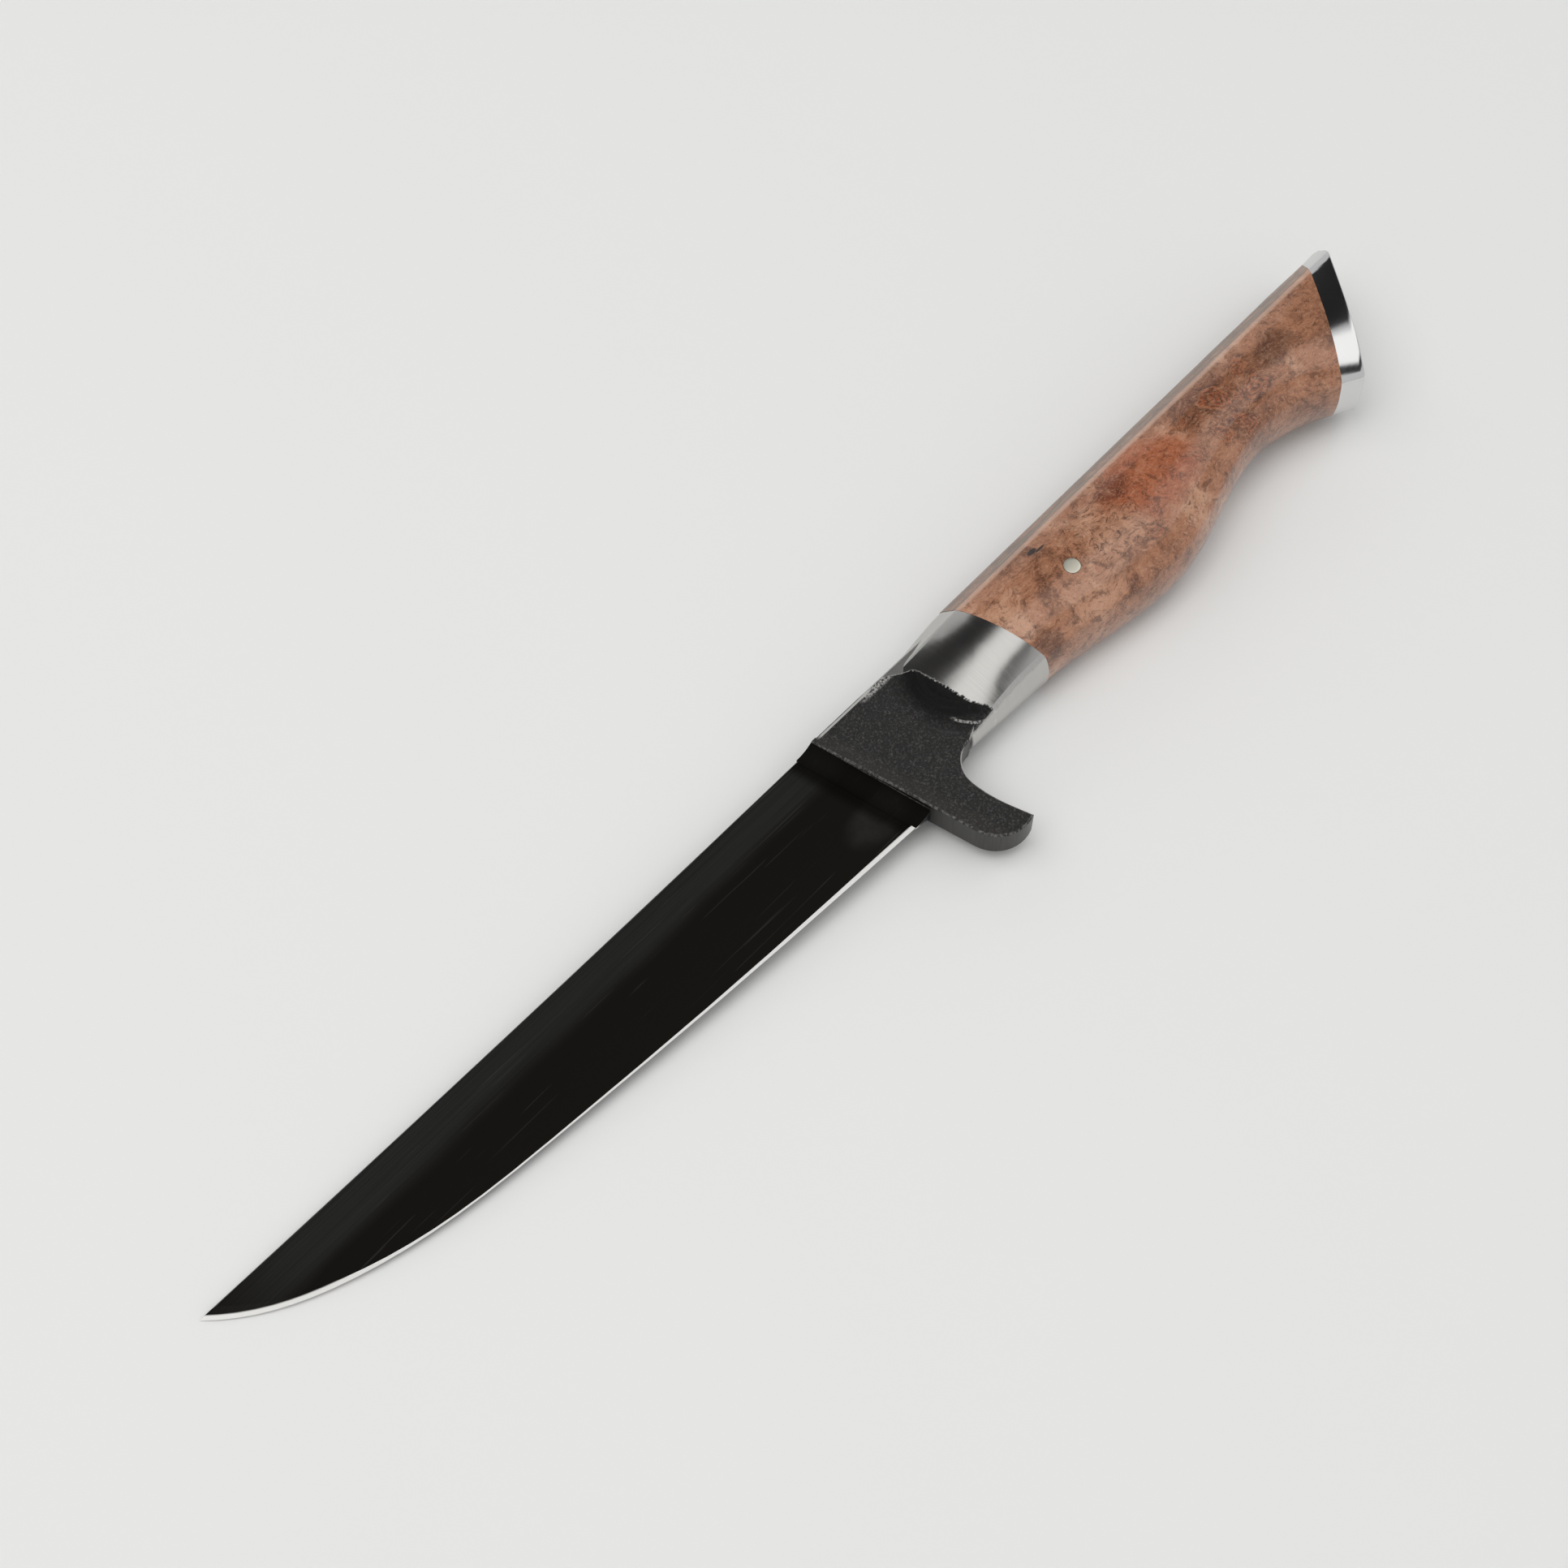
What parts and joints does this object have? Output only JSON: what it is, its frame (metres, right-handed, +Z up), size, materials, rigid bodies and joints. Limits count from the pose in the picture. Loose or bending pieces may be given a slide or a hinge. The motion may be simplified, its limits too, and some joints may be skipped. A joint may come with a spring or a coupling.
{
  "type": "boning knife",
  "caption": "Fixed-blade boning knife: narrow curved blade forged in one piece with its finger guard and bolster, slim contoured wooden grip and slanted steel pommel cap.",
  "frame": {"origin": "middle of the footprint's bounding box, on the surface the knife lies on", "axes": "The knife lies on its side. +X runs from the blade's tip to the butt, +Y is the spine side, -Y the cutting edge and guard side, +Z is up, across the blade's thickness"},
  "size_m": [0.2934, 0.0414, 0.0164],
  "materials": {
    "forged_steel": "dark satin blade, forge scale left on the ricasso and guard, hand-rubbed satin bolster",
    "burl_wood": "stabilised reddish brown burl with dark eyes and pale streaks, polished to a gloss",
    "epoxy": "cured adhesive, hidden",
    "pin_metal": "nickel silver, ground flush and polished with the wood",
    "polished_steel": "mirror-polished stainless steel",
    "dowel_steel": "plain ground steel, hidden"
  },
  "bodies": {
    "root": {"blade_forging": "forged_steel", "handle_block": "burl_wood", "tang_bedding": "epoxy", "handle_pin": "pin_metal", "pommel_cap": "polished_steel", "pommel_dowels": "dowel_steel"}
  },
  "joints": []
}
